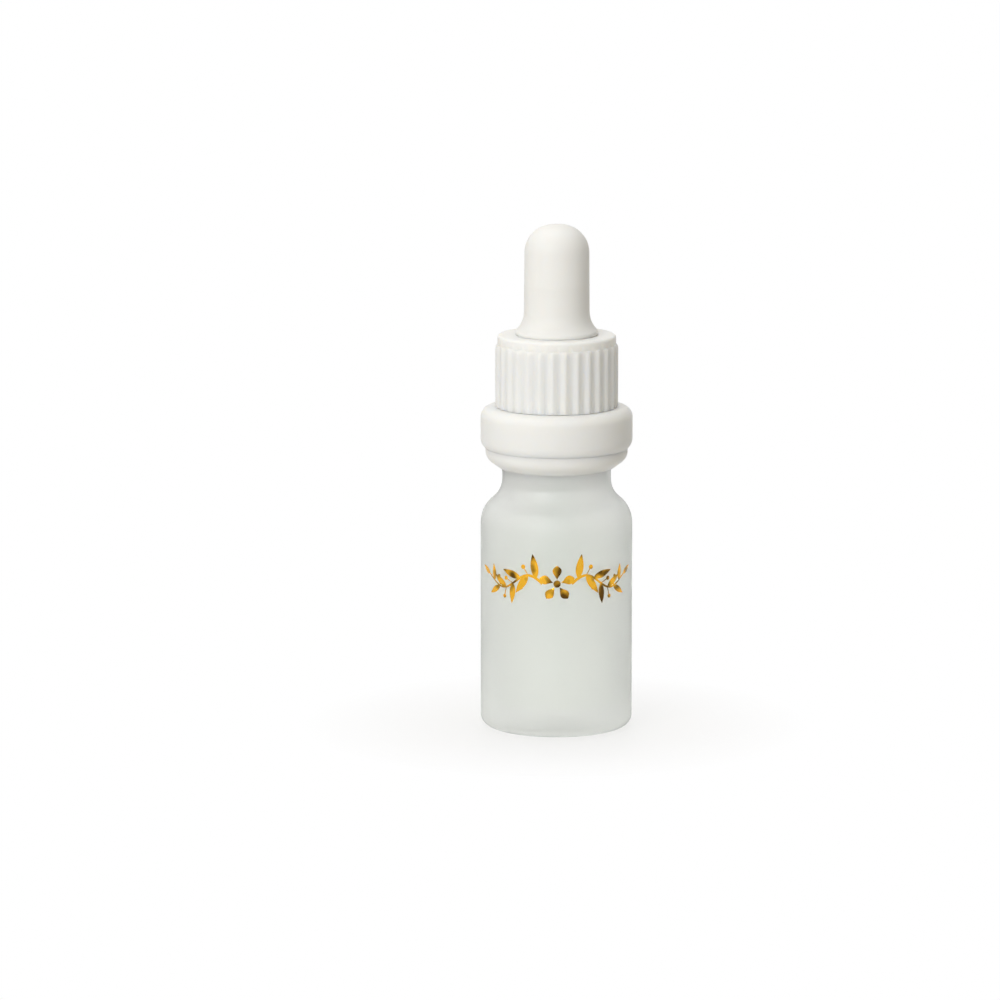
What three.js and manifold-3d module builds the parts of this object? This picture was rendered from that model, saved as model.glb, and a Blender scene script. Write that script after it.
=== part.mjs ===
// Dropper bottle for 10 ml of essential oil, in millimetres, +Z up.
// The origin is on the axis, at the level the bottle stands on.
import * as THREE from 'three';
import { mergeVertices } from 'three/addons/utils/BufferGeometryUtils.js';
import Module from 'manifold-3d';

// Glass body
const bodyRadius = 12.5;
const bodyHeight = 33.95; // the straight wall ends here
const glassWall = 1.5;
const heelRadius = 1.8;
const standingWidth = 2.2; // flat ring that the bottle stands on
const pushUp = 0.8; // hollow under the base
const floorHeight = 3.2;
const floorFillet = 2.2;
const shoulderRadius = 5.2;
const neckFillet = 4.1;

// Neck finish
const neckRadius = 8.95;
const neckLength = 5.35; // from the shoulder's end to the bead
const beadProud = 0.95;
const beadHeight = 2.4;
const beadNose = 0.8;
const threadCore = 8.15;
const threadDepth = 0.8; // room that the thread needs in the cap
const finishHeight = 10.8; // from the bead to the rim
const throatLift = 1.74; // from the shoulder's end to where the neck's wall grows thicker
const throatRise = 4.0; // height over which it does
const mouthRadius = 5.9;
const rimRounding = 0.5;

// Clearances
const runningGap = 0.3; // between pieces that turn or lift past each other
const seatGap = 0.2; // between pieces that rest on each other
const cutOvershoot = 0.2; // how far a cutting form reaches past what it cuts

// Lock ring
const lockRoom = 0.5; // round the bead, so that the hook can give way
const hookThickness = 0.6;
const spigotWall = 0.7;
const spigotHeight = 3.2;
const spigotLead = 0.35; // lead-in at the spigot's top
const lockStep = 0.52; // how far it stands back from the collar
const lockCorner = 2.1;
const lockSlope = 36; // degrees, of the underside
const lockSkin = 1.2; // thickness of the underside
const lockLand = 0.15; // plain edge under the collar
const snapProud = 0.3;
const snapHeight = 0.9;
const snapRise = 1.0; // from the collar's foot to the snap bead

// Collar
const collarWall = 1.2;
const collarHeight = 6.8;
const collarLip = 1.2; // thickness of its top
const collarCrest = 1.2; // rounding of its top edge
const collarFoot = 0.9; // rounding of its lower edge
const collarFootTurn = 55; // degrees of that rounding

// Screw cap
const skirtWall = 0.6;
const skirtLift = 1.5; // from the bead to the skirt's lower edge
const plateThickness = 2.4;
const crownRounding = 0.45;
const crownHeight = 1.5; // smooth band above the ribs
const ribCount = 30;
const ribTurn = 1.3; // degrees, where the first rib stands
const ribProud = 0.36;
const ribWidth = 0.6; // across its crest
const ribRoot = 0.06; // how deep the hollow between two ribs would reach into the skirt
const ribRunOut = 0.8; // height over which a rib's end slopes away

// Rubber bulb
const flangeThickness = 2.6;
const socketDepth = 3.8; // from the flange's face to the pipette's top
const grooveWall = 0.9; // rubber round the pipette's bead, inside the cap's hole
const flareFoot = 1.4; // how far the foot stands out past the shaft
const flareEdge = 0.4;
const flareRadius = 5.0;
const shaftRadius = 5.4;
const shaftTaper = 0.1;
const shaftHeight = 9.5;
const domeFlat = 0.7; // flat spot on the crown of the dome
const bulbWall = 1.2;
const stopThickness = 0.8; // inner ledge above the pipette
const stopWidth = 0.6;

// Glass pipette
const pipetteRadius = 3.45;
const pipetteWall = 0.95;
const pipetteBeadProud = 0.45; // bead at the top that the rubber grips
const pipetteBeadHeight = 1.0;
const tipClearance = 5.6; // from the bottle's floor to the tip
const tipLength = 3.5;
const tipRadius = 1.5;
const tipBore = 0.7;
const tipRounding = 0.4;
const taperLength = 13.5;

// Facets round the axis
const glassFacets = 48;
const capFacets = 2 * ribCount;
const fluteFacets = 8; // across the hollow between two ribs
const bulbFacets = 36;
const pipetteFacets = 24;

const degree = Math.PI / 180;
const sameSpot = 1e-6;

const wasm = await Module();
wasm.setup();

// Points of a circular arc in the (radius, height) plane, angles in degrees.
function arc(centreR, centreZ, radius, from, to, steps = 4) {
  const points = [];
  for (let step = 0; step <= steps; step += 1) {
    const angle = (from + ((to - from) * step) / steps) * degree;
    points.push([centreR + radius * Math.cos(angle), centreZ + radius * Math.sin(angle)]);
  }
  return points;
}

// Turn of the two arcs that lead from one wall in to a narrower one.
function shoulderTurn(drop, arcRadii) {
  return Math.acos(Math.max(0, 1 - drop / arcRadii));
}

// S-curve up from a wall at wideR to a wall at narrowR, as two arcs.
function shoulder(wideR, narrowR, startZ, lowRadius, highRadius, steps) {
  const turn = shoulderTurn(wideR - narrowR, lowRadius + highRadius);
  const endZ = startZ + (lowRadius + highRadius) * Math.sin(turn);
  const sweep = turn / degree;
  return [
    ...arc(wideR - lowRadius, startZ, lowRadius, 0, sweep, steps),
    ...arc(narrowR + highRadius, endZ, highRadius, 180 + sweep, 180, steps),
  ];
}

// Welds a geometry's corners and drops the slivers that welding leaves.
function weld(geometry) {
  geometry.deleteAttribute('normal');
  geometry.deleteAttribute('uv');
  const welded = mergeVertices(geometry);
  const index = welded.index.array;
  const kept = [];
  for (let i = 0; i < index.length; i += 3) {
    const [a, b, c] = [index[i], index[i + 1], index[i + 2]];
    if (a !== b && b !== c && c !== a) kept.push(a, b, c);
  }
  welded.setIndex(kept);
  return welded;
}

// Revolves an outline of [radius, height] points about the Z axis.
// It runs up the outside and down the inside, and closes by itself or on the axis.
function revolve(outline, facets) {
  const corners = outline.map(([r, z]) => new THREE.Vector2(r, z));
  const points = corners.filter((corner, i) => i === 0 || corner.distanceTo(corners[i - 1]) > sameSpot);
  if (points[0].x > sameSpot) points.push(points[0].clone());
  const geometry = new THREE.LatheGeometry(points, facets);
  geometry.rotateX(Math.PI / 2);
  return weld(geometry);
}

function toSolid(geometry) {
  const vertProperties = new Float32Array(geometry.attributes.position.array);
  const triVerts = new Uint32Array(geometry.index.array);
  return new wasm.Manifold(new wasm.Mesh({ numProp: 3, vertProperties, triVerts }));
}

function toGeometry(solid) {
  const mesh = solid.getMesh();
  const geometry = new THREE.BufferGeometry();
  geometry.setAttribute('position', new THREE.BufferAttribute(mesh.vertProperties, 3));
  geometry.setIndex(new THREE.BufferAttribute(mesh.triVerts, 1));
  return geometry;
}

// Levels and radii that several pieces share
const outerArcs = shoulderRadius + neckFillet;
const neckStart = bodyHeight + outerArcs * Math.sin(shoulderTurn(bodyRadius - neckRadius, outerArcs));
const beadUnder = neckStart + neckLength;
const beadTop = beadUnder + beadHeight;
const beadRadius = neckRadius + beadProud;
const rimZ = beadTop + finishHeight;
const throatBase = neckStart + throatLift;

const lockTop = beadUnder - runningGap;
const spigotInner = beadRadius + lockRoom;
const spigotOuter = spigotInner + spigotWall;
const collarInner = spigotOuter + seatGap;
const collarRadius = collarInner + collarWall;
const collarBase = lockTop + seatGap;
const collarTop = collarBase + collarHeight;
const snapBase = collarBase + snapRise;
const snapMiddle = snapBase + snapHeight / 2;
const snapTop = snapBase + snapHeight;

const capBore = threadCore + threadDepth + seatGap;
const skirtRadius = capBore + skirtWall;
const flangeBase = rimZ + seatGap;
const flangeTop = flangeBase + flangeThickness;
const plateBase = flangeTop + seatGap;
const capTop = plateBase + plateThickness;

const pipetteTop = flangeBase + socketDepth;
const pipetteBeadBase = pipetteTop - pipetteBeadHeight;
const socketRadius = pipetteRadius + seatGap;
const socketPocket = socketRadius + pipetteBeadProud;
const grooveRadius = socketPocket + grooveWall;
const plateHole = grooveRadius + seatGap;

function glassBottle() {
  const standingOuter = bodyRadius - heelRadius;
  const standingInner = standingOuter - standingWidth;
  const archRadius = (standingInner ** 2 + pushUp ** 2) / (2 * pushUp);
  const archTurn = Math.asin(standingInner / archRadius) / degree;
  const innerRadius = bodyRadius - glassWall;
  const innerLow = shoulderRadius - glassWall;
  const innerHigh = neckFillet + glassWall;
  const throatRadius = neckRadius - glassWall;
  return revolve(
    [
      ...arc(0, pushUp - archRadius, archRadius, 90, 90 - archTurn, 3),
      ...arc(standingOuter, heelRadius, heelRadius, -90, 0),
      ...shoulder(bodyRadius, neckRadius, bodyHeight, shoulderRadius, neckFillet, 5),
      [neckRadius, beadUnder],
      ...arc(beadRadius - beadNose, beadUnder + beadNose, beadNose, -90, 45),
      [threadCore, beadTop],
      ...arc(threadCore - rimRounding, rimZ - rimRounding, rimRounding, 0, 90, 2),
      ...arc(mouthRadius + rimRounding, rimZ - rimRounding, rimRounding, 90, 180, 2),
      [mouthRadius, throatBase + throatRise],
      [throatRadius, throatBase],
      ...shoulder(innerRadius, throatRadius, bodyHeight, innerLow, innerHigh, 5).reverse(),
      ...arc(innerRadius - floorFillet, floorHeight + floorFillet, floorFillet, 0, -90),
      [0, floorHeight],
    ],
    glassFacets,
  );
}

// Ring whose hook catches under the neck's bead, and whose spigot carries the collar.
function lockRing() {
  const lipRadius = neckRadius + runningGap;
  const lockRadius = collarRadius - lockStep;
  const slope = lockSlope * degree;
  const cornerR = lockRadius - lockCorner;
  const cornerZ = lockTop - lockLand;
  const tangentR = cornerR + lockCorner * Math.sin(slope);
  const tangentZ = cornerZ - lockCorner * Math.cos(slope);
  const lipBase = tangentZ - (tangentR - lipRadius) * Math.tan(slope);
  const grooveBase = lipBase + (spigotInner - lipRadius) * Math.tan(slope) + lockSkin / Math.cos(slope);
  const spigotTop = lockTop + spigotHeight;
  return revolve(
    [
      [lipRadius, lipBase],
      ...arc(cornerR, cornerZ, lockCorner, lockSlope - 90, 0),
      [lockRadius, lockTop],
      [spigotOuter, lockTop],
      [spigotOuter, snapBase],
      [spigotOuter + snapProud, snapMiddle],
      [spigotOuter, snapTop],
      [spigotOuter, spigotTop - spigotLead],
      [spigotOuter - spigotLead, spigotTop],
      [spigotInner, spigotTop],
      [spigotInner, grooveBase],
      [lipRadius + hookThickness, grooveBase],
      [lipRadius + hookThickness, lockTop],
      [lipRadius, lockTop],
    ],
    glassFacets,
  );
}

// Collar that stays on the neck when the seal is broken.
function tamperRing() {
  const lipRadius = skirtRadius + runningGap;
  const lipBase = collarTop - collarLip;
  const footR = collarRadius - collarFoot;
  const footZ = collarBase + collarFoot * Math.sin(collarFootTurn * degree);
  return revolve(
    [
      [collarInner, collarBase],
      ...arc(footR, footZ, collarFoot, -collarFootTurn, 0, 3),
      ...arc(collarRadius - collarCrest, collarTop - collarCrest, collarCrest, 0, 90),
      [lipRadius, collarTop],
      [lipRadius, lipBase],
      [collarInner, lipBase],
      [collarInner, snapTop],
      [collarInner + snapProud, snapMiddle],
      [collarInner, snapBase],
    ],
    glassFacets,
  );
}

// Plan of the grip: narrow crests with hollow flutes between them, each flute a parabola.
function gripPlan(crestRadius) {
  const pitch = 360 / ribCount;
  const crestSpan = ribWidth / crestRadius / degree;
  const fluteStep = (pitch - crestSpan) / fluteFacets;
  const points = [];
  for (let rib = 0; rib < ribCount; rib += 1) {
    const crestEnd = ribTurn + rib * pitch + crestSpan / 2;
    points.push(...arc(0, 0, crestRadius, crestEnd - crestSpan, crestEnd, 2));
    for (let step = 1; step < fluteFacets; step += 1) {
      const across = 1 - (2 * step) / fluteFacets;
      const radius = crestRadius - (ribProud + ribRoot) * (1 - across ** 2);
      const angle = (crestEnd + fluteStep * step) * degree;
      points.push([radius * Math.cos(angle), radius * Math.sin(angle)]);
    }
  }
  return new THREE.Shape(points.map(([x, y]) => new THREE.Vector2(x, y)));
}

// Ribs that slope away at both ends, on a solid core.
function grip(crestRadius, base, top) {
  const bars = new THREE.ExtrudeGeometry(gripPlan(crestRadius), { depth: top - base, bevelEnabled: false });
  bars.translate(0, 0, base);
  const endSlope = ribRunOut / ribProud;
  const limitRadius = crestRadius + cutOvershoot;
  const limitRise = ribRunOut + cutOvershoot * endSlope;
  const limit = revolve(
    [
      [0, base],
      [skirtRadius, base],
      [limitRadius, base + limitRise],
      [limitRadius, top - limitRise],
      [skirtRadius, top],
      [0, top],
    ],
    capFacets,
  );
  return toSolid(weld(bars)).intersect(toSolid(limit));
}

function screwCap() {
  const skirtBase = beadTop + skirtLift;
  const ribBase = collarTop + runningGap;
  const ribTop = capTop - crownHeight;
  const shell = revolve(
    [
      [0, skirtBase],
      [skirtRadius, skirtBase],
      ...arc(skirtRadius - crownRounding, capTop - crownRounding, crownRounding, 0, 90),
      [0, capTop],
    ],
    capFacets,
  );
  const inside = revolve(
    [
      [0, skirtBase - cutOvershoot],
      [capBore, skirtBase - cutOvershoot],
      [capBore, plateBase],
      [plateHole, plateBase],
      [plateHole, capTop + cutOvershoot],
      [0, capTop + cutOvershoot],
    ],
    capFacets,
  );
  const ribs = grip(skirtRadius + ribProud, ribBase, ribTop);
  return toGeometry(toSolid(shell).add(ribs).subtract(toSolid(inside)));
}

function rubberBulb() {
  const flangeRadius = capBore - runningGap;
  const flareBase = capTop + seatGap;
  const flareTurn = Math.acos(1 - flareFoot / flareRadius);
  const shaftBase = flareBase + flareEdge + flareRadius * Math.sin(flareTurn);
  const domeBase = shaftBase + shaftHeight;
  const shaftEnd = shaftRadius - shaftTaper;
  const domeRadius = shaftEnd - domeFlat;
  const innerRadius = shaftEnd - bulbWall;
  const innerDome = domeRadius - bulbWall;
  const stopRadius = pipetteRadius - stopWidth;
  const stopBase = pipetteTop + seatGap;
  const stopTop = stopBase + stopThickness;
  const pocketBase = pipetteBeadBase - seatGap;
  return revolve(
    [
      [socketRadius, flangeBase],
      [flangeRadius, flangeBase],
      [flangeRadius, flangeTop],
      [grooveRadius, flangeTop],
      [grooveRadius, flareBase],
      [shaftRadius + flareFoot, flareBase],
      ...arc(shaftRadius + flareRadius, shaftBase, flareRadius, 180 + flareTurn / degree, 180),
      ...arc(domeFlat, domeBase, domeRadius, 0, 90, 6),
      [0, domeBase + domeRadius],
      [0, domeBase + innerDome],
      ...arc(domeFlat, domeBase, innerDome, 90, 0),
      [innerRadius, stopTop + innerRadius - stopRadius],
      [stopRadius, stopTop],
      [stopRadius, stopBase],
      [socketPocket, stopBase],
      [socketPocket, pocketBase],
      [socketRadius, pocketBase],
    ],
    bulbFacets,
  );
}

function glassPipette() {
  const bore = pipetteRadius - pipetteWall;
  const beadOuter = pipetteRadius + pipetteBeadProud;
  const tipZ = floorHeight + tipClearance;
  const taperBase = tipZ + tipLength;
  const taperTop = taperBase + taperLength;
  return revolve(
    [
      [tipBore, tipZ],
      ...arc(tipRadius - tipRounding, tipZ + tipRounding, tipRounding, -90, 0, 2),
      [tipRadius, taperBase],
      [pipetteRadius, taperTop],
      [pipetteRadius, pipetteBeadBase],
      [beadOuter, pipetteBeadBase + pipetteBeadProud],
      [beadOuter, pipetteTop],
      [bore, pipetteTop],
      [bore, taperTop],
      [tipBore, taperBase],
    ],
    pipetteFacets,
  );
}

const frostedGlass = new THREE.MeshStandardMaterial({ color: 0xd9dcd6, roughness: 0.55, metalness: 0 });
const clearGlass = new THREE.MeshStandardMaterial({ color: 0xe6ebe8, roughness: 0.08, metalness: 0 });
const whitePlastic = new THREE.MeshStandardMaterial({ color: 0xeeede8, roughness: 0.42, metalness: 0 });
const whiteRubber = new THREE.MeshStandardMaterial({ color: 0xebeae4, roughness: 0.6, metalness: 0 });

const dropperBottle = new THREE.Group();
function addPiece(name, geometry, material) {
  const mesh = new THREE.Mesh(geometry, material);
  mesh.name = name;
  dropperBottle.add(mesh);
}

addPiece('glass_bottle', glassBottle(), frostedGlass);
addPiece('lock_ring', lockRing(), whitePlastic);
addPiece('tamper_ring', tamperRing(), whitePlastic);
addPiece('screw_cap', screwCap(), whitePlastic);
addPiece('rubber_bulb', rubberBulb(), whiteRubber);
addPiece('glass_pipette', glassPipette(), clearGlass);

export default dropperBottle;
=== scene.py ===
import math
import bmesh
import bpy
from mathutils import Matrix, Vector


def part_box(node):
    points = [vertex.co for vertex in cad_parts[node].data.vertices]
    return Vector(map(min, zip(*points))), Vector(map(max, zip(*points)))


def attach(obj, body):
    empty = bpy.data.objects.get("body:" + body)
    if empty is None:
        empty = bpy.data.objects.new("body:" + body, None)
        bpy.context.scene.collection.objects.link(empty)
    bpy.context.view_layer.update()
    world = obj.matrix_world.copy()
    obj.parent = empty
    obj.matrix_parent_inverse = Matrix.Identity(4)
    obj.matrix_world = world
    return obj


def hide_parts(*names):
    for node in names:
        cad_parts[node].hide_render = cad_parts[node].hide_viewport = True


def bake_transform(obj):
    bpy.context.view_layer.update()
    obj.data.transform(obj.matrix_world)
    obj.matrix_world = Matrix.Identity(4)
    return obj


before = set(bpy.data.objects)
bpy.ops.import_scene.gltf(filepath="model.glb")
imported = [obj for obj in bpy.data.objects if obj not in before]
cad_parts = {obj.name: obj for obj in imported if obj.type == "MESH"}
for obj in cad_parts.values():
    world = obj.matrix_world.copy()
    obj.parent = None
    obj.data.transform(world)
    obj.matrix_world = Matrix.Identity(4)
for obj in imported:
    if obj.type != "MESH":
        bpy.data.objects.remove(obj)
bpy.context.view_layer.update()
mm = 0.001
arcStep = 7.5  # degrees of turn for each step of a rounding
weld = 1e-7  # metres, under which corners are merged
close = 1e-5  # metres, for finding corners by their place
print("frame loaded with", ", ".join(sorted(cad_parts)))


# Shader maths

class Wire:  # a socket of a node tree; sums on it add Math nodes
    def __init__(self, tree, socket):
        self.tree = tree
        self.socket = socket

    def node(self, kind, settings, inputs, output=0):  # any other node, its settings first
        made = self.tree.nodes.new("ShaderNode" + kind)
        for name, value in settings.items():
            if name == "stops":
                setStops(made.color_ramp.elements, value)
            else:
                setattr(made, name, value)
        for name, value in inputs.items():
            if isinstance(value, Wire):
                self.tree.links.new(value.socket, made.inputs[name])
            else:
                made.inputs[name].default_value = value
        return Wire(self.tree, made.outputs[output])

    def maths(self, operation, first, second):
        return self.node("Math", {"operation": operation}, {0: first, 1: second})

    def __add__(self, other):
        return self.maths("ADD", self, other)

    def __sub__(self, other):
        return self.maths("SUBTRACT", self, other)

    def __rsub__(self, other):
        return self.maths("SUBTRACT", other, self)

    def __mul__(self, other):
        return self.maths("MULTIPLY", self, other)

    def __truediv__(self, other):
        return self.maths("DIVIDE", self, other)

    def __pow__(self, other):
        return self.maths("POWER", self, other)

    __radd__ = __add__
    __rmul__ = __mul__


def setStops(elements, stops):
    while len(elements) < len(stops):
        elements.new(1.0)
    for element, (position, tone) in zip(elements, stops):
        element.position = position
        element.color = tone


def startFinish(name):  # a material with its shader, and the place on the piece
    material = bpy.data.materials.new(name)
    material.use_nodes = True
    tree = material.node_tree
    shader = tree.nodes["Principled BSDF"]
    place = tree.nodes.new("ShaderNodeTexCoord").outputs["Object"]
    return material, shader, Wire(tree, place)


def feed(shader, socket, value):
    if isinstance(value, Wire):
        value.tree.links.new(value.socket, shader.inputs[socket])
    else:
        shader.inputs[socket].default_value = value


def grain(place, size, detail=3.0):  # noise with features of that size in metres
    return place.node("TexNoise", {}, {"Vector": place, "Scale": 1 / size, "Detail": detail})


def tint(place, mask, low, high):  # colour between two tones
    settings = {"data_type": "RGBA", "clamp_factor": True}
    return place.node("Mix", settings, {"Factor": mask, 6: (*low, 1), 7: (*high, 1)}, output=2)


def bump(place, height, depth):  # depth in metres
    return place.node("Bump", {}, {"Height": height, "Distance": depth, "Strength": 1.0})


# Modelling by hand

def alone():
    if bpy.context.object and bpy.context.object.mode != "OBJECT":
        bpy.ops.object.mode_set(mode="OBJECT")
    bpy.ops.object.select_all(action="DESELECT")


def pick(piece):
    alone()
    piece.select_set(True)
    bpy.context.view_layer.objects.active = piece


def softCorners(corners):  # (radius, height, rounding) corners, each rounding as a true arc
    points = []
    for i, (radius, height, rounding) in enumerate(corners):
        here = Vector((radius, height))
        if not rounding:
            points.append(here)
            continue
        back = (Vector(corners[i - 1][:2]) - here).normalized()
        ahead = (Vector(corners[(i + 1) % len(corners)][:2]) - here).normalized()
        half = back.angle(ahead) / 2
        centre = here + (back + ahead).normalized() * (rounding / math.sin(half))
        first = here + back * (rounding / math.tan(half)) - centre
        last = here + ahead * (rounding / math.tan(half)) - centre
        turn = first.angle_signed(last)
        steps = max(2, round(abs(math.degrees(turn)) / arcStep))
        for step in range(steps + 1):
            points.append(centre + Matrix.Rotation(-turn * step / steps, 2) @ first)
    return points


def turnPiece(name, corners, columns, hollow=True):
    # A ring is extruded and scaled from point to point of the outline, then bridged to its start or capped.
    points = softCorners(corners)
    alone()
    radius, height = points[0]
    bpy.ops.mesh.primitive_circle_add(vertices=columns, radius=radius * mm, location=(0, 0, height * mm))
    piece = bpy.context.object
    piece.name = name
    bpy.ops.object.transform_apply(location=True, rotation=True, scale=True)
    bpy.ops.object.mode_set(mode="EDIT")
    bpy.ops.mesh.select_all(action="SELECT")
    for here, ahead in zip(points, points[1:]):
        lift = (0, 0, (ahead.y - here.y) * mm)
        swell = ahead.x / here.x
        bpy.ops.mesh.extrude_region_move(TRANSFORM_OT_translate={"value": lift})
        bpy.ops.transform.resize(value=(swell, swell, 1), center_override=(0, 0, ahead.y * mm))
    bpy.ops.mesh.select_all(action="DESELECT")
    bpy.ops.mesh.select_non_manifold(
        extend=False, use_wire=False, use_multi_face=False, use_non_contiguous=False)
    if hollow:
        bpy.ops.mesh.bridge_edge_loops()
    else:
        bpy.ops.mesh.edge_face_add()
    closeUp()
    return piece


def closeUp():
    bpy.ops.mesh.select_all(action="SELECT")
    bpy.ops.mesh.remove_doubles(threshold=weld)
    bpy.ops.mesh.normals_make_consistent(inside=False)
    bpy.ops.object.mode_set(mode="OBJECT")


def mixed(pair, along):
    return pair[0] + (pair[1] - pair[0]) * along


def smooth(piece, angle=32):
    pick(piece)
    bpy.ops.object.shade_smooth_by_angle(angle=math.radians(angle))


def dress(piece, material, body, slot, *nodes):
    piece.data.materials.clear()
    piece.data.materials.append(material)
    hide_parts(*nodes)
    if body:
        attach(piece, body)


def swerve(wide, narrow, start, low, high):  # two roundings that lead a wall in to a narrower one
    turn = math.acos(1 - (wide - narrow) / (low + high))
    end = start + (low + high) * math.sin(turn)
    reach = math.tan(turn / 2)
    return [(wide, start + low * reach, low), (narrow, end - high * reach, high)]


def windThread(name, thread):
    # The section stands on the right of the wall and is pushed round the helix, small at both ends.
    alone()
    root, crest = thread["root"], thread["crest"]
    place = ((root + crest) / 2 * mm, 0, thread["start"] * mm)
    bpy.ops.mesh.primitive_plane_add(size=1, location=place, rotation=(math.radians(90), 0, 0))
    ridge = bpy.context.object
    ridge.name = name
    ridge.scale = (abs(crest - root) * mm, thread["foot"] * mm, 1)
    bpy.ops.object.transform_apply(location=True, rotation=True, scale=True)
    bpy.ops.object.mode_set(mode="EDIT")
    bpy.ops.mesh.select_mode(type="VERT")
    selectWhere(lambda co: abs(co.x - crest * mm) < close)
    slim = thread["land"] / thread["foot"]
    bpy.ops.transform.resize(value=(1, 1, slim), center_override=place)
    bpy.ops.mesh.select_all(action="SELECT")
    steps = round(thread["turns"] * thread["stepsPerTurn"])
    size = thread["tip"]
    grow(size, root, 0, thread["start"])
    for step in range(1, steps + 1):
        angle = 2 * math.pi * step / thread["stepsPerTurn"]
        height = thread["start"] + thread["pitch"] * step / thread["stepsPerTurn"]
        lift = (0, 0, thread["pitch"] / thread["stepsPerTurn"] * mm)
        bpy.ops.mesh.extrude_region_move(TRANSFORM_OT_translate={"value": lift})
        turn = -2 * math.pi / thread["stepsPerTurn"]  # the operator turns the other way
        bpy.ops.transform.rotate(value=turn, orient_axis="Z", center_override=(0, 0, 0))
        wanted = min(1, max(thread["tip"], min(step, steps - step) / thread["fade"]))
        grow(wanted / size, root, angle, height)
        size = wanted
    closeUp()
    return ridge


def grow(share, radius, angle, height):  # scales the section about its foot
    foot = (radius * math.cos(angle) * mm, radius * math.sin(angle) * mm, height * mm)
    bpy.ops.transform.resize(value=(share, share, share), center_override=foot)


def selectWhere(test):  # in edit mode, the corners that pass the test
    bpy.ops.mesh.select_all(action="DESELECT")
    mesh = bmesh.from_edit_mesh(bpy.context.object.data)
    for corner in mesh.verts:
        corner.select = test(corner.co)
    mesh.select_flush_mode()
    bmesh.update_edit_mesh(bpy.context.object.data)


def fuse(piece, addition):
    pick(piece)
    join = piece.modifiers.new("join", "BOOLEAN")
    join.operation = "UNION"
    join.solver = "MANIFOLD"
    join.object = addition
    bpy.ops.object.modifier_apply(modifier=join.name)
    bpy.data.objects.remove(addition)


print("tools ready")


# Frosted glass bottle

glass = {
    "columns": 144,
    "radius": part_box("glass_bottle")[1].x / mm,
    "rim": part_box("glass_bottle")[1].z / mm,
    "wall": 1.5,
    "heel": 1.8,
    "standing": 2.2,  # flat ring that it stands on
    "standEdge": 0.3,
    "pushUp": 0.8,
    "archShares": (0.4, 0.6, 0.8, 0.93),  # where the push-up's curve has its rings
    "floor": 3.2,
    "floorFillet": 2.2,
    "shoulderAt": 33.95,
    "shoulder": 5.2,
    "neckFillet": 4.1,
    "neck": 8.95,
    "finish": 10.8,  # from the bead to the rim
    "bead": 2.4,
    "beadRadius": 9.9,
    "beadNose": 0.75,
    "beadRoot": 0.2,
    "threadCore": 8.15,
    "threadRoot": 0.4,
    "mouth": 5.9,
    "mouthLow": 47.0,  # the neck's wall grows thicker up to here
    "throatTop": 43.0,
    "throatBend": 3.0,
    "rimRounding": 0.55,
    "poleRadius": 1.2,  # small flat spot on the axis
}
anyThread = {
    "pitch": 3.0,
    "tip": 0.25,  # size of its ends, as a share
    "fade": 8,  # steps from an end to the full size
    "stepsPerTurn": 72,
}
neckThread = {
    **anyThread,
    "root": glass["threadCore"] - 0.4,  # sunk into the wall
    "crest": 8.9,
    "start": glass["rim"] - 8.2,
    "turns": 1.75,
    "foot": 1.9,
    "land": 0.6,
}


def frostedGlass():
    # The outside is etched, the inside is left clear.
    look = {
        "tone": (1.0, 1.0, 0.985),  # at the neck, lighter there as painted light against the collar's shade
        "low": (0.925, 0.938, 0.908),  # on the body, the glass's own grey-green tint
        "neckLiftFrom": glass["shoulderAt"] - 2,  # height at which the painted lift towards the neck starts
        "neckLiftOver": 11,
        "narrowOver": 7,  # height over which the wall moves in to the neck
        "roughness": 0.7,
        "roughSpread": 0.12,
        "inside": 0.06,  # roughness there
        "clearness": 0.88,  # share of the light that goes through
        "index": 1.5,
        "cloud": 9 * mm,
        "cloudShare": 0.25,
        "etch": 0.12 * mm,
        "etchDepth": 0.004 * mm,
    }
    material, shader, place = startFinish("frostedGlass")
    cloud = grain(place, look["cloud"])
    etch = grain(place, look["etch"], detail=4.0)
    x, y, z = [place.node("SeparateXYZ", {}, {"Vector": place}, output=axis) for axis in range(3)]
    radius = (x * x + y * y) ** 0.5 / mm
    wallMiddle = glass["radius"] - glass["wall"] / 2
    neckMiddle = (glass["neck"] + glass["mouth"]) / 2
    narrowing = {
        "Value": z / mm,
        "From Min": glass["shoulderAt"], "From Max": glass["shoulderAt"] + look["narrowOver"],
        "To Min": wallMiddle, "To Max": neckMiddle,
    }
    middle = place.node("MapRange", {"interpolation_type": "SMOOTHSTEP"}, narrowing)
    etched = place.maths("GREATER_THAN", radius, middle)
    under = place.maths("LESS_THAN", z / mm, glass["floor"] / 2)
    etched = place.maths("MAXIMUM", etched, under)
    # painted light: on top of random clouding, the base colour grows lighter up to the neck to make up for
    # the shade that the collar casts there
    height = (z / mm - look["neckLiftFrom"]) / look["neckLiftOver"]
    neckLightAndCloud = height + (cloud - 0.5) * look["cloudShare"]
    feed(shader, "Base Color", tint(place, neckLightAndCloud, look["low"], look["tone"]))
    rough = look["roughness"] - look["inside"] + (etch - 0.5) * look["roughSpread"]
    feed(shader, "Roughness", look["inside"] + etched * rough)
    feed(shader, "Normal", bump(place, etch * etched, look["etchDepth"]))
    feed(shader, "Transmission Weight", look["clearness"])
    feed(shader, "IOR", look["index"])
    return material


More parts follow.
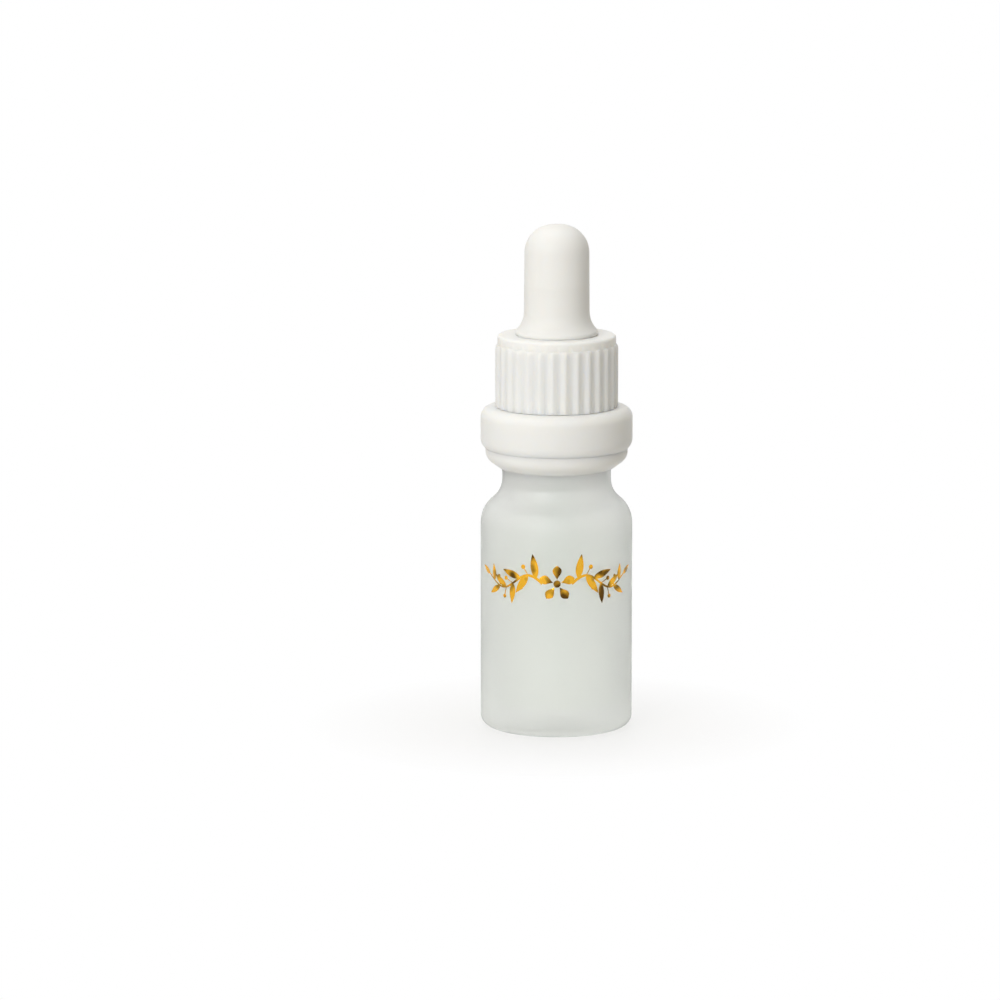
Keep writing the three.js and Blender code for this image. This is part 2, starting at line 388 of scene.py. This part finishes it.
def makeGlass():
    standing = glass["radius"] - glass["heel"] - glass["standing"]
    arch = [glass["poleRadius"], *[standing * share for share in glass["archShares"]]]
    beadTop = glass["rim"] - glass["finish"]
    beadUnder = beadTop - glass["bead"]
    inner = glass["radius"] - glass["wall"]
    throat = glass["neck"] - glass["wall"]
    start, low, high = glass["shoulderAt"], glass["shoulder"], glass["neckFillet"]
    outside = swerve(glass["radius"], glass["neck"], start, low, high)
    inside = swerve(inner, throat, start, low - glass["wall"], high + glass["wall"])
    corners = [(r, glass["pushUp"] * (1 - (r / standing) ** 2), 0) for r in arch]
    corners += [
        (standing, 0, glass["standEdge"]),
        (glass["radius"], 0, glass["heel"]),
        *outside,
        (glass["neck"], beadUnder, glass["beadRoot"]),
        (glass["beadRadius"], beadUnder, glass["beadNose"]),
        (glass["beadRadius"], beadUnder + glass["bead"] / 2, glass["beadNose"]),
        (glass["threadCore"], beadTop, glass["threadRoot"]),
        (glass["threadCore"], glass["rim"], glass["rimRounding"]),
        (glass["mouth"], glass["rim"], glass["rimRounding"]),
        (glass["mouth"], glass["mouthLow"], glass["throatBend"]),
        (throat, glass["throatTop"], glass["throatBend"]),
        *reversed(inside),
        (inner, glass["floor"], glass["floorFillet"]),
        (glass["poleRadius"], glass["floor"], 0),
    ]
    bottle = turnPiece("frosted_bottle", corners, glass["columns"], hollow=False)
    fuse(bottle, windThread("neckThread", neckThread))
    smooth(bottle)
    dress(bottle, frostedGlass(), "bottle", "frosted_glass", "glass_bottle")
    print("glass bottle:", len(bottle.data.polygons), "faces")


# White plastic: cap, collar and lock ring

plasticLook = {
    "tone": (0.87, 0.865, 0.838),
    "shade": (0.85, 0.845, 0.815),
    "roughness": 0.42,
    "roughSpread": 0.1,
    "shine": 0.14,
    "cloud": 6 * mm,
    "grain": 0.15 * mm,
    "grainDepth": 0.003 * mm,
    "glow": 0.7,  # share of the light that spreads inside
    "glowTone": (1.0, 0.9, 0.75),
    "glowDepth": 1.5 * mm,
}


def milkWhite(name, look):  # the finish of the plastic and of the rubber
    material, shader, place = startFinish(name)
    cloud = grain(place, look["cloud"])
    fine = grain(place, look["grain"], detail=2.0)
    feed(shader, "Base Color", tint(place, cloud, look["shade"], look["tone"]))
    feed(shader, "Roughness", look["roughness"] + (cloud - 0.5) * look["roughSpread"])
    feed(shader, "Normal", bump(place, fine, look["grainDepth"]))
    feed(shader, "Subsurface Weight", look["glow"])
    feed(shader, "Subsurface Radius", look["glowTone"])
    feed(shader, "Subsurface Scale", look["glowDepth"])
    feed(shader, "Specular IOR Level", look["shine"])
    return material


lock = {
    "columns": 144,
    "low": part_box("lock_ring")[0].z / mm,
    "top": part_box("lock_ring")[1].z / mm,
    "radius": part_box("lock_ring")[1].x / mm,
    "lip": 9.25,
    "slope": 36,  # degrees, of the underside
    "corner": 2.1,
    "spigotOuter": 11.1,
    "spigotInner": 10.4,
    "hook": 0.6,
    "groove": 0.93,  # depth behind the hook
    "edge": 0.12,
    "lead": 0.35,
    "parting": 0.005,  # what shows of the gap under the collar
    "seam": 0.025,  # rounding of the two edges that meet there
    "inset": 0.27,  # brings the ring in to the collar's lower edge
}
snap = {"rise": 1.0, "height": 0.9, "proud": 0.3}  # bead that holds the collar on the lock ring
collar = {
    "columns": 144,
    "low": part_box("tamper_ring")[0].z / mm,
    "top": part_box("tamper_ring")[1].z / mm,
    "radius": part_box("tamper_ring")[1].x / mm,
    "inner": 11.3,
    "lip": 9.77,
    "lipThickness": 1.2,
    "crest": 1.7,
    "foot": 2.1,  # rounding of its lower edge
    "footTurn": 50,  # degrees
    "footShare": 0.97,  # keeps that rounding clear of the seam's
    "edge": 0.12,
}


def makeLockRing(material):
    ledge = collar["low"] - lock["parting"]
    outer = lock["radius"] - lock["inset"]
    rise = (outer - lock["lip"]) * math.tan(math.radians(lock["slope"]))
    snapLow = collar["low"] + snap["rise"]
    hookOuter = lock["lip"] + lock["hook"]
    edge = lock["edge"]
    ring = turnPiece("lock_ring_white", [
        (lock["lip"], lock["low"], edge),
        (outer, lock["low"] + rise, lock["corner"]),
        (outer, ledge, lock["seam"]),
        (lock["spigotOuter"], ledge, edge),
        (lock["spigotOuter"], snapLow, edge),
        (lock["spigotOuter"] + snap["proud"], snapLow + snap["height"] / 2, edge),
        (lock["spigotOuter"], snapLow + snap["height"], edge),
        (lock["spigotOuter"], lock["top"] - lock["lead"], edge),
        (lock["spigotOuter"] - lock["lead"], lock["top"], edge),
        (lock["spigotInner"], lock["top"], edge),
        (lock["spigotInner"], ledge - lock["groove"], edge),
        (hookOuter, ledge - lock["groove"], edge),
        (hookOuter, ledge, edge),
        (lock["lip"], ledge, edge),
    ], lock["columns"])
    smooth(ring)
    dress(ring, material, "collar", "white_plastic", "lock_ring")
    print("lock ring:", len(ring.data.polygons), "faces")


def makeCollar(material):
    turn = math.radians(collar["footTurn"])
    footIn = collar["foot"] * (1 - math.cos(turn))
    footRise = footIn / math.tan(turn)
    lipLow = collar["top"] - collar["lipThickness"]
    snapLow = collar["low"] + snap["rise"]
    edge = collar["edge"]
    ring = turnPiece("collar_white", [
        (collar["inner"], collar["low"], edge / 2),
        (collar["radius"] - footIn, collar["low"], lock["seam"]),
        (collar["radius"], collar["low"] + footRise, collar["footShare"] * collar["foot"]),
        (collar["radius"], collar["top"], collar["crest"]),
        (collar["lip"], collar["top"], edge),
        (collar["lip"], lipLow, edge),
        (collar["inner"], lipLow, edge),
        (collar["inner"], snapLow + snap["height"], edge),
        (collar["inner"] + snap["proud"], snapLow + snap["height"] / 2, edge),
        (collar["inner"], snapLow, edge),
    ], collar["columns"])
    smooth(ring)
    dress(ring, material, "collar", "white_plastic", "tamper_ring")
    print("collar:", len(ring.data.polygons), "faces")


cap = {
    "low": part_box("screw_cap")[0].z / mm,
    "top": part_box("screw_cap")[1].z / mm,
    "crest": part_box("screw_cap")[1].x / mm,
    "wall": 9.75,
    "ribs": 30,
    "columnsPerRib": 20,
    "ribAngle": 1.3,  # degrees, where the first rib stands
    "ribCrest": 0.7,  # width of its rounded crest, the rest is a hollow flute
    "fluteFloor": 0.28,  # how high the flute's middle stands, as a share of the rib
    "ribLow": collar["top"] + 0.01,  # just clear of the collar
    "ribEnd": 1.0,  # rounding of a rib's upper end
    "ribSteps": 8,  # rows in that rounding
    "ribRunOut": 0.06,  # height of its lower end
    "ribRunOutShare": 0.7,  # of its depth, halfway up that end
    "bore": 9.15,
    "crown": 1.5,  # smooth band above the ribs
    "crownRounding": 0.45,
    "plate": 2.4,
    "seat": 6.68,  # shallow recess that the bulb's foot sits in
    "seatDepth": 0.27,
    "seatEdge": 0.008,
    "hole": 5.2,
    "edge": 0.15,
}
capThread = {
    **anyThread,
    "root": cap["bore"] + 0.3,  # sunk into the wall
    "crest": 8.42,
    "start": glass["rim"] - 6.7,
    "turns": 1.5,
    "foot": 1.6,
    "land": 0.5,
}


def ribRows():  # heights up a rib, each with the share of its full depth there
    low = cap["ribLow"]
    high = cap["top"] - cap["crown"]
    rows = [(low, 0), (low + cap["ribRunOut"] / 2, cap["ribRunOutShare"]), (low + cap["ribRunOut"], 1)]
    for step in range(cap["ribSteps"] + 1):
        angle = math.pi / 2 * step / cap["ribSteps"]
        rows.append((high - cap["ribEnd"] * (1 - math.sin(angle)), math.cos(angle)))
    return rows


def ribShape(across):  # 1 on a rib's crest, 0 in the middle of a flute
    half = math.pi * cap["crest"] / cap["ribs"]
    crest = cap["ribCrest"] / 2
    if across < crest:
        return 1 - across ** 2 / (crest * half)
    return (half - across) ** 2 / (half * (half - crest))


def pullRibs(piece):
    # Each row of corners is scaled out by its own share, one place across the rib at a time.
    bpy.ops.object.mode_set(mode="EDIT")
    bpy.ops.mesh.select_mode(type="VERT")
    columns = cap["columnsPerRib"]
    pitch = 2 * math.pi / cap["ribs"]
    rows = dict((round(height, 3), share) for height, share in ribRows())
    spots = {}
    for corner in bmesh.from_edit_mesh(piece.data).verts:
        height = round(corner.co.z / mm, 3)
        radius = math.hypot(corner.co.x, corner.co.y)
        if height in rows and abs(radius - cap["wall"] * mm) < close:
            angle = math.atan2(corner.co.y, corner.co.x) - math.radians(cap["ribAngle"])
            column = round(angle / pitch * columns) % columns
            spots.setdefault((height, min(column, columns - column)), []).append(corner.index)
    for (height, column), found in spots.items():
        across = cap["crest"] * pitch * column / columns
        share = rows[height] * mixed((cap["fluteFloor"], 1), ribShape(across))
        proud = (cap["crest"] - cap["wall"]) * share
        if proud:
            swell = 1 + proud / cap["wall"]
            selectCorners(piece, found)
            bpy.ops.transform.resize(value=(swell, swell, 1), center_override=(0, 0, height * mm))
    bpy.ops.object.mode_set(mode="OBJECT")


def selectCorners(piece, indices):
    bpy.ops.mesh.select_all(action="DESELECT")
    mesh = bmesh.from_edit_mesh(piece.data)
    mesh.verts.ensure_lookup_table()
    for index in indices:
        mesh.verts[index].select = True
    mesh.select_flush_mode()
    bmesh.update_edit_mesh(piece.data)


def makeCap(material):
    plateLow = cap["top"] - cap["plate"]
    seatLow = cap["top"] - cap["seatDepth"]
    edge = cap["edge"]
    piece = turnPiece("ribbed_cap", [
        (cap["bore"], cap["low"], edge),
        (cap["wall"], cap["low"], edge),
        *[(cap["wall"], height, 0) for height, _ in ribRows()],
        (cap["wall"], cap["top"], cap["crownRounding"]),
        (cap["seat"], cap["top"], cap["seatEdge"]),
        (cap["seat"], seatLow, cap["seatEdge"]),
        (cap["hole"], seatLow, edge),
        (cap["hole"], plateLow, edge),
        (cap["bore"], plateLow, edge),
    ], cap["ribs"] * cap["columnsPerRib"])
    pick(piece)
    bpy.ops.object.mode_set(mode="EDIT")
    bpy.ops.mesh.select_all(action="SELECT")
    turn = -math.radians(cap["ribAngle"])  # a column of corners on each rib's middle
    bpy.ops.transform.rotate(value=turn, orient_axis="Z", center_override=(0, 0, 0))
    bpy.ops.object.mode_set(mode="OBJECT")
    pullRibs(piece)
    fuse(piece, windThread("capThread", capThread))
    smooth(piece, angle=50)
    dress(piece, material, "cap", "white_plastic", "screw_cap")
    print("cap:", len(piece.data.polygons), "faces")


# Soft white bulb

bulb = {
    "columns": 112,
    "low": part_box("rubber_bulb")[0].z / mm,
    "top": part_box("rubber_bulb")[1].z / mm,
    "flange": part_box("rubber_bulb")[1].x / mm,
    "flangeThickness": 2.6,
    "groove": 5.0,
    "footLow": cap["top"] - cap["seatDepth"] + 0.02,  # just clear of its seat
    "foot": 6.8,
    "nose": 0.65,  # rounding of the foot's edge
    "flare": 4.3,
    "flareTurn": 44,  # degrees, where it meets the cap
    "shaft": 5.4,
    "shaftEnd": 5.3,
    "domeFlat": 0.7,
    "wall": 1.2,
    "socket": 3.65,
    "pocket": 4.1,
    "pocketHeight": 1.4,
    "stop": 2.85,
    "stopGap": 0.2,  # above the pipette
    "stopThickness": 0.8,
    "ledgeRounding": 0.8,
    "edge": 0.15,
    "seamAt": 73.4,  # fine line that the mould leaves
    "seamIn": 0.05,  # how much the shaft has narrowed there
    "seamProud": 0.03,
    "seamWidth": 0.35,
    "bendStart": (0, -6.65 * mm, 65.5 * mm),  # where the squeeze would start to bend it; nothing here bends it
    "bendEnd": (0, -11.78 * mm, 70.63 * mm),
}
rubberLook = {
    "tone": (0.857, 0.849, 0.82),
    "shade": (0.837, 0.829, 0.797),
    "roughness": 0.5,
    "roughSpread": 0.12,
    "shine": 0.14,
    "cloud": 5 * mm,
    "grain": 0.2 * mm,
    "grainDepth": 0.004 * mm,
    "glow": 0.3,
    "glowTone": (1.0, 0.85, 0.7),
    "glowDepth": 1.5 * mm,
}


def makeBulb():
    edge = bulb["edge"]
    dome = bulb["shaftEnd"] - bulb["domeFlat"]
    flangeTop = bulb["low"] + bulb["flangeThickness"]
    turn = math.radians(bulb["flareTurn"])
    tip = bulb["foot"] + bulb["nose"] * (math.tan(math.pi / 4 + turn / 2) - 1)
    flareCorner = bulb["footLow"] + (tip - bulb["shaft"]) / math.tan(turn)
    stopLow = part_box("glass_pipette")[1].z / mm + bulb["stopGap"]
    pocketLow = stopLow - bulb["pocketHeight"]
    stopTop = stopLow + bulb["stopThickness"]
    inner = bulb["shaftEnd"] - bulb["wall"]
    seamWall = bulb["shaft"] - bulb["seamIn"]
    ball = turnPiece("soft_bulb", [
        (bulb["domeFlat"], bulb["top"], 0),
        (bulb["shaftEnd"], bulb["top"], dome),
        (seamWall, bulb["seamAt"] + bulb["seamWidth"] / 2, 0),
        (seamWall + bulb["seamProud"], bulb["seamAt"], 0),
        (seamWall, bulb["seamAt"] - bulb["seamWidth"] / 2, 0),
        (bulb["shaft"], flareCorner, bulb["flare"]),
        (tip, bulb["footLow"], bulb["nose"]),
        (bulb["groove"], bulb["footLow"], edge),
        (bulb["groove"], flangeTop, edge),
        (bulb["flange"], flangeTop, edge),
        (bulb["flange"], bulb["low"], edge),
        (bulb["socket"], bulb["low"], edge),
        (bulb["socket"], pocketLow, edge),
        (bulb["pocket"], pocketLow, edge),
        (bulb["pocket"], stopLow, edge),
        (bulb["stop"], stopLow, edge),
        (bulb["stop"], stopTop, edge),
        (inner, stopTop + inner - bulb["stop"], bulb["ledgeRounding"]),
        (inner, bulb["top"] - bulb["wall"], dome - bulb["wall"]),
        (bulb["domeFlat"] / 2, bulb["top"] - bulb["wall"], 0),
    ], bulb["columns"], hollow=False)
    smooth(ball, angle=40)
    dress(ball, milkWhite("whiteRubber", rubberLook), None, "white_rubber", "rubber_bulb")
    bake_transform(ball)
    print("bulb:", len(ball.data.polygons), "faces")


# Clear glass pipette

pipette = {
    "columns": 72,
    "low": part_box("glass_pipette")[0].z / mm,
    "top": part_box("glass_pipette")[1].z / mm,
    "radius": 3.45,
    "bore": 2.5,
    "bead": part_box("glass_pipette")[1].x / mm,
    "beadHeight": 1.0,
    "edge": 0.2,
    "mouthEdge": 0.3,
    "tip": 1.5,
    "tipBore": 0.7,
    "tipLength": 3.5,
    "tipEdge": 0.15,
    "tipNose": 0.4,
    "tipBend": 4.0,  # roundings at the ends of the taper
    "taper": 13.5,
    "taperBend": 12.0,
}


def clearGlass():
    look = {
        "tone": (0.965, 0.98, 0.972),
        "shade": (0.95, 0.97, 0.96),
        "roughness": 0.02,
        "roughSpread": 0.03,
        "index": 1.47,
        "streak": 7 * mm,
    }
    material, shader, place = startFinish("clearGlass")
    streak = grain(place, look["streak"])
    feed(shader, "Base Color", tint(place, streak, look["shade"], look["tone"]))
    feed(shader, "Roughness", look["roughness"] + streak * look["roughSpread"])
    feed(shader, "Transmission Weight", 1.0)
    feed(shader, "IOR", look["index"])
    return material


def makePipette():
    taperLow = pipette["low"] + pipette["tipLength"]
    taperTop = taperLow + pipette["taper"]
    beadLow = pipette["top"] - pipette["beadHeight"]
    proud = pipette["bead"] - pipette["radius"]
    tube = turnPiece("clear_pipette", [
        (pipette["tipBore"], pipette["low"], pipette["tipEdge"]),
        (pipette["tip"], pipette["low"], pipette["tipNose"]),
        (pipette["tip"], taperLow, pipette["tipBend"]),
        (pipette["radius"], taperTop, pipette["taperBend"]),
        (pipette["radius"], beadLow, pipette["edge"]),
        (pipette["bead"], beadLow + proud, pipette["edge"]),
        (pipette["bead"], pipette["top"], pipette["edge"]),
        (pipette["bore"], pipette["top"], pipette["mouthEdge"]),
        (pipette["bore"], taperTop, pipette["taperBend"]),
        (pipette["tipBore"], taperLow, pipette["tipBend"]),
    ], pipette["columns"])
    smooth(tube)
    dress(tube, clearGlass(), "dropper", "clear_glass", "glass_pipette")
    print("pipette:", len(tube.data.polygons), "faces")


# Gold foil garland on the front of the glass

foil = {
    "height": 25.9,  # its middle above the floor
    "thickness": 0.035,
    "sunk": 0.01,
    "ridge": 0.05,  # how far the middle of a leaf stands up
    "columns": 12,
    "leastWidth": 0.02,
    "arm": (2.4, 13.2),  # where a stem starts and ends, along the wall
    "wave": 1.35,  # height of its wave
    "waves": 1.1,  # how many there are
    "waveLoss": 0.25,  # share of the height that is lost on the way
    "stem": (0.5, 0.18),  # width at the start and at the end
    "stemSteps": 40,
    "leaves": 8,
    "leafFrom": 0.1,  # share of the stem below the first leaf
    "leafLong": (4.2, 2.5),
    "leafWide": (1.35, 0.85),
    "leafTurn": 50,  # degrees off the stem
    "leafFullest": 0.42,  # share of its length at which it is widest
    "fullness": 0.85,  # less makes leaves and petals rounder
    "berry": (0.4, 0.28),  # radius at the start and at the end
    "dotSides": 20,
    "stalk": 1.6,
    "stalkTurn": 62,  # degrees off the stem
    "stalkWidths": (0.16, 0.14, 0.16),
    "petals": 5,
    "petalLong": 2.3,
    "petalWide": 1.5,
    "petalFullest": 0.62,
    "petalGap": 0.12,
    "heart": 0.6,
}


def goldFoil():
    look = {
        "bright": (0.80, 0.43, 0.035),
        "deep": (0.11, 0.052, 0.008),
        "roughness": 0.24,
        "roughSpread": 0.2,
        "glint": 2.2 * mm,
        "deepUpTo": 0.34,  # of the noise
        "brightFrom": 0.54,
    }
    material, shader, place = startFinish("goldFoil")
    # painted reflection: dark bronze patches among the bright gold stand in for dark surroundings mirrored
    # in the foil
    glint = grain(place, look["glint"], detail=1.0)
    stops = [(look["deepUpTo"], (0, 0, 0, 1)), (look["brightFrom"], (1, 1, 1, 1))]
    paintedReflection = place.node("ValToRGB", {"stops": stops}, {"Fac": glint})
    feed(shader, "Base Color", tint(place, paintedReflection, look["deep"], look["bright"]))
    feed(shader, "Roughness", look["roughness"] + (glint - 0.5) * look["roughSpread"])
    feed(shader, "Metallic", 1.0)
    return material


def strip(name, places, widths):
    # A grid whose columns are set one by one to their place, slant and width, in the plane of the front.
    alone()
    count = len(places)
    aside = 10  # metres, where columns that are set wait clear of the others
    bpy.ops.mesh.primitive_grid_add(
        x_subdivisions=count - 1, y_subdivisions=2, size=2, rotation=(math.pi / 2, 0, 0))
    piece = bpy.context.object
    piece.name = name
    bpy.ops.object.transform_apply(location=True, rotation=True, scale=True)
    bpy.ops.object.mode_set(mode="EDIT")
    bpy.ops.mesh.select_mode(type="VERT")
    for i in range(count):
        at = -1 + 2 * i / (count - 1)
        selectWhere(lambda co: abs(co.x - at) < close)
        x, z = places[i]
        back = places[max(i - 1, 0)]
        ahead = places[min(i + 1, count - 1)]
        slant = math.atan2(ahead[1] - back[1], ahead[0] - back[0])
        width = max(widths[i], foil["leastWidth"])
        bpy.ops.transform.resize(value=(1, 1, width / 2 * mm), center_override=(at, 0, 0))
        bpy.ops.transform.rotate(value=slant, orient_axis="Y", center_override=(at, 0, 0))
        bpy.ops.transform.translate(value=(x * mm - at + aside, 0, z * mm))
    bpy.ops.mesh.select_all(action="SELECT")
    bpy.ops.transform.translate(value=(-aside, 0, 0))
    bpy.ops.object.mode_set(mode="OBJECT")
    return piece


def leafShape(name, fullest):  # one millimetre long and wide, with a ridge along its middle
    count = foil["columns"]
    shares = [i / (count - 1) for i in range(count)]
    power = math.log(0.5) / math.log(fullest)
    widths = [math.sin(math.pi * along ** power) ** foil["fullness"] for along in shares]
    piece = strip(name, [(along, 0) for along in shares], widths)
    pick(piece)
    bpy.ops.object.mode_set(mode="EDIT")
    selectCorners(piece, range(count + 1, 2 * count - 1))  # the middle row without its ends
    bpy.ops.transform.translate(value=(0, -foil["ridge"] * mm, 0))
    bpy.ops.object.mode_set(mode="OBJECT")
    return piece


def setDown(model, x, z, turn, long, wide):  # a copy with its own mesh, turned and sized
    alone()
    copy = model.copy()
    copy.data = model.data.copy()
    bpy.context.collection.objects.link(copy)
    copy.location = (x * mm, 0, z * mm)
    copy.rotation_euler = (0, -math.radians(turn), 0)
    copy.scale = (long, 1, wide)
    pick(copy)
    bpy.ops.object.transform_apply(location=True, rotation=True, scale=True)
    return copy


def dot(x, z, radius):  # a berry or the blossom's heart, raised in the middle
    alone()
    bpy.ops.mesh.primitive_circle_add(
        vertices=foil["dotSides"], radius=radius * mm, fill_type="TRIFAN",
        location=(x * mm, 0, z * mm), rotation=(math.pi / 2, 0, 0))
    piece = bpy.context.object
    bpy.ops.object.transform_apply(location=True, rotation=True, scale=True)
    bpy.ops.object.mode_set(mode="EDIT")
    selectWhere(lambda co: math.hypot(co.x - x * mm, co.z - z * mm) < close)
    bpy.ops.transform.translate(value=(0, -foil["ridge"] * mm, 0))
    bpy.ops.object.mode_set(mode="OBJECT")
    return piece


def stemAt(along):  # place on the right arm, 0 at the blossom and 1 at the end
    swing = math.sin(2 * math.pi * along * foil["waves"])
    return mixed(foil["arm"], along), foil["wave"] * swing * (1 - foil["waveLoss"] * along)


def blossom(petal):
    bits = [dot(0, 0, foil["heart"])]
    reach = foil["heart"] + foil["petalGap"]
    for i in range(foil["petals"]):
        turn = 90 + 360 / foil["petals"] * i
        x = reach * math.cos(math.radians(turn))
        z = reach * math.sin(math.radians(turn))
        bits.append(setDown(petal, x, z, turn, foil["petalLong"], foil["petalWide"]))
    return bits


def berryOnStalk(x, z, lean, along, side):
    tipX = x + foil["stalk"] * math.cos(math.radians(lean))
    tipZ = z + foil["stalk"] * math.sin(math.radians(lean))
    line = [(x * side, z), ((x + tipX) / 2 * side, (z + tipZ) / 2), (tipX * side, tipZ)]
    stalk = strip("stalk", sorted(line), foil["stalkWidths"])  # from left to right
    return [stalk, dot(tipX * side, tipZ, mixed(foil["berry"], along))]


def leafyArm(leaf, side):  # side is 1 on the right and -1 on the left
    steps = [i / foil["stemSteps"] for i in range(foil["stemSteps"] + 1)]
    path = [(stemAt(along)[0] * side, stemAt(along)[1]) for along in steps]
    widths = [mixed(foil["stem"], along) for along in steps]
    bits = [strip("stem", path[::side], widths[::side])]
    last = foil["leaves"] - 1
    for i in range(foil["leaves"]):
        along = mixed((foil["leafFrom"], 1), i / last)
        x, z = stemAt(along)
        nextX, nextZ = stemAt(along + 0.01)
        slope = math.degrees(math.atan2(nextZ - z, nextX - x))
        way = 1 if i % 2 == 0 else -1
        turn = slope if i == last else slope + way * foil["leafTurn"]
        turn = turn if side > 0 else 180 - turn
        long = mixed(foil["leafLong"], along)
        wide = mixed(foil["leafWide"], along)
        bits.append(setDown(leaf, x * side, z, turn, long, wide))
        if 0 < i < last - 1:
            bits += berryOnStalk(x, z, slope - way * foil["stalkTurn"], along, side)
    return bits


def joinBits(name, bits):
    alone()
    for bit in bits:
        bit.select_set(True)
    bpy.context.view_layer.objects.active = bits[0]
    bpy.ops.object.join()
    piece = bpy.context.object
    piece.name = name
    bpy.ops.object.mode_set(mode="EDIT")
    bpy.ops.mesh.select_all(action="SELECT")
    bpy.ops.mesh.remove_doubles(threshold=weld)
    bpy.ops.object.mode_set(mode="OBJECT")
    return piece


def wrapRound(garland):  # gives the flat foil its thickness and bends it round the glass
    thick = garland.modifiers.new("thick", "SOLIDIFY")
    thick.thickness = foil["thickness"] * mm
    thick.offset = 1
    bpy.ops.object.modifier_apply(modifier=thick.name)
    wide = garland.dimensions.x
    wrap = garland.modifiers.new("wrap", "SIMPLE_DEFORM")
    wrap.deform_method = "BEND"
    wrap.deform_axis = "Z"
    wrap.angle = wide / (glass["radius"] * mm)
    bpy.ops.object.modifier_apply(modifier=wrap.name)
    bpy.ops.object.mode_set(mode="EDIT")
    bpy.ops.mesh.select_all(action="SELECT")
    out = glass["radius"] - foil["sunk"]
    bpy.ops.transform.translate(value=(0, -out * mm, foil["height"] * mm))
    closeUp()


def makeFoil():
    leaf = leafShape("leaf", foil["leafFullest"])
    petal = leafShape("petal", foil["petalFullest"])
    bits = blossom(petal) + leafyArm(leaf, 1) + leafyArm(leaf, -1)
    for model in (leaf, petal):
        bpy.data.objects.remove(model)
    garland = joinBits("foil_garland", bits)
    wrapRound(garland)
    smooth(garland, angle=14)
    garland.data.materials.append(goldFoil())
    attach(garland, "bottle")
    print("foil:", len(garland.data.polygons), "faces")


makeGlass()
plastic = milkWhite("whitePlastic", plasticLook)
makeLockRing(plastic)
makeCollar(plastic)
makeCap(plastic)
makeBulb()
makePipette()
makeFoil()


# Studio

studio = {
    "ambient": 0.25,
    "ambientTone": (1.0, 0.95, 0.84),
    "floorTone": (0.74, 0.72, 0.68),
    "floorRoughness": 0.35,
    "floorWhite": 0.95,  # share of plain white in the floor that gloss and glass show
    "footShadeWhite": 0.7,  # share of it that the camera sees at the bottle's foot: less white there, which shows the real shadow and adds painted shade round the foot
    "footShadeFade": (0.012, 0.042),  # metres from the axis over which that painted shade fades and the floor turns all white
    "floorSize": 12.0,
    "aim": (0, 0, 0.04),  # what the lamps point at
}
lamps = {  # place, size, watts and tone
    "key": ((-0.405, -0.73, 0.38), 0.5, 4.6, (0.99, 1.0, 1.02)),
    "top": ((0.0, 0.12, 0.85), 1.0, 4.9, (1.0, 1.0, 1.0)),
}
eye = {
    "lens": 218.35,
    "rise": 10.0,  # degrees above level
    "distance": 1.0,
    "target": (-9.314 * mm, 0, 37.62 * mm),
    "sensor": 36,
    "clip": 0.01,
}


def seenWhite(tree):  # 1 for what the camera sees, straight, in gloss or through glass
    path = tree.nodes.new("ShaderNodeLightPath")
    names = ("Is Camera Ray", "Is Glossy Ray", "Is Transmission Ray")
    straight, gloss, through = [Wire(tree, path.outputs[name]) for name in names]
    return straight.maths("MINIMUM", straight + gloss + through, 1.0)


def mixIn(tree, share, plain, white, output):  # puts that share of white in front of the plain shader
    mix = tree.nodes.new("ShaderNodeMixShader")
    tree.links.new(share.socket, mix.inputs[0])
    tree.links.new(plain.outputs[0], mix.inputs[1])
    tree.links.new(white.outputs[0], mix.inputs[2])
    tree.links.new(mix.outputs[0], tree.nodes[output].inputs["Surface"])


def makeWorld():
    world = bpy.data.worlds.new("studio")
    bpy.context.scene.world = world
    world.use_nodes = True
    tree = world.node_tree
    dim = tree.nodes["Background"]
    dim.inputs["Color"].default_value = (*studio["ambientTone"], 1)
    dim.inputs["Strength"].default_value = studio["ambient"]
    white = tree.nodes.new("ShaderNodeBackground")
    white.inputs["Color"].default_value = (1, 1, 1, 1)
    mixIn(tree, seenWhite(tree), dim, white, "World Output")


def makeFloor():
    alone()
    bpy.ops.mesh.primitive_plane_add(size=studio["floorSize"])
    floor = bpy.context.object
    floor.name = "floor"
    material, shader, place = startFinish("paleFloor")
    tree = material.node_tree
    feed(shader, "Base Color", (*studio["floorTone"], 1))
    feed(shader, "Roughness", studio["floorRoughness"])
    near, far = studio["footShadeFade"]
    # partly real shadow, partly painted shade: near the axis the camera sees less plain white, so the floor
    # darkens round the foot by distance as well as where the shadow falls
    away = place.node("VectorMath", {"operation": "LENGTH"}, {0: place}, output="Value")
    fade = place.node("MapRange", {}, {
        "Value": away, "From Min": near, "From Max": far,
        "To Min": studio["footShadeWhite"] - studio["floorWhite"], "To Max": 1 - studio["floorWhite"],
    })
    straight = Wire(tree, tree.nodes.new("ShaderNodeLightPath").outputs["Is Camera Ray"])
    share = seenWhite(tree) * studio["floorWhite"] + straight * fade
    mixIn(tree, share, shader, tree.nodes.new("ShaderNodeEmission"), "Material Output")
    floor.data.materials.append(material)


def makeLamps():
    for name, (place, size, watts, tone) in lamps.items():
        alone()
        bpy.ops.object.light_add(type="AREA", location=place)
        lamp = bpy.context.object
        lamp.name = name
        lamp.data.size = size
        lamp.data.energy = watts
        lamp.data.color = tone
        aim = Vector(studio["aim"]) - lamp.location
        lamp.rotation_euler = aim.to_track_quat("-Z", "Y").to_euler()


def makeCamera():
    alone()
    rise = math.radians(eye["rise"])
    back = Vector((0, -math.cos(rise), math.sin(rise)))
    place = Vector(eye["target"]) + back * eye["distance"]
    bpy.ops.object.camera_add(location=place, rotation=(math.pi / 2 - rise, 0, 0))
    camera = bpy.context.object
    camera.data.sensor_width = eye["sensor"]
    camera.data.lens = eye["lens"]
    camera.data.clip_start = eye["clip"]
    bpy.context.scene.camera = camera


makeWorld()
makeFloor()
makeLamps()
makeCamera()
bpy.context.scene.view_settings.view_transform = "Standard"
print("studio ready")

bpy.context.view_layer.update()
